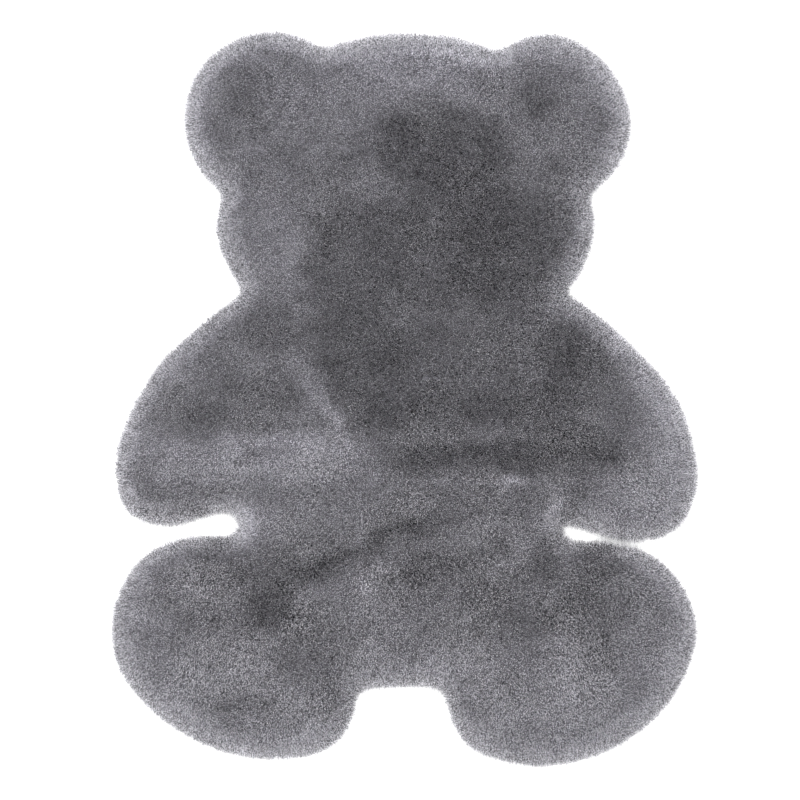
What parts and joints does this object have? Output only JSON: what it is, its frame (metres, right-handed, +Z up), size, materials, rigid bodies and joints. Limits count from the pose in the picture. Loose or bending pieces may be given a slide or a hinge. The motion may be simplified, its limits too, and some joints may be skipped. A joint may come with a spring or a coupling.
{
  "type": "bear shaped plush rug",
  "caption": "Flat plush floor rug cut in the outline of a teddy bear, with ears, arms and legs, a soft rounded rim and shallow packing folds in its pile.",
  "frame": {"origin": "on the floor, under the middle of the rug's outline", "axes": "+Z up through the pile, +Y towards the top of the head, +X towards the arm on the right as seen from above"},
  "size_m": [0.8, 1, 0.0308],
  "materials": {
    "plush": "matte deep-pile plush, mid grey with a faint violet cast"
  },
  "bodies": {
    "root": {"rug": "plush"}
  },
  "joints": []
}
